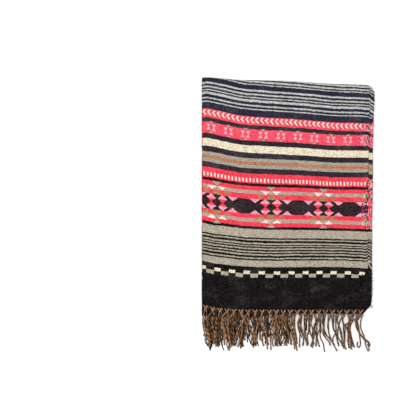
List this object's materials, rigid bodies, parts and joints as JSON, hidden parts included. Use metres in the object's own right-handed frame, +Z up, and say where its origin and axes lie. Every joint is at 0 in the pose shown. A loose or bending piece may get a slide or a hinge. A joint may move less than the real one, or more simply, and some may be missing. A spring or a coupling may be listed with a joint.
{
  "type": "woven scarf",
  "caption": "Woven scarf with twisted fringes, folded lengthwise and twice crosswise and laid flat, fringed ends together at the front.",
  "frame": {"origin": "on the floor, at the middle of the whole folded scarf, fringe included", "axes": "+X across the scarf from the long fold to the selvedges, +Y from the fringe to the back fold, +Z up"},
  "size_m": [0.3548, 0.5726, 0.0175],
  "materials": {
    "cloth": "soft matt jacquard weave, striped black, red, grey and cream",
    "fringe": "matt brown twisted wool cords"
  },
  "bodies": {
    "root": {"top_fold": "cloth", "inner_folds": "cloth", "fringe_near_upper": "fringe", "fringe_near_lower": "fringe", "fringe_far_upper": "fringe", "fringe_far_lower": "fringe"}
  },
  "joints": []
}
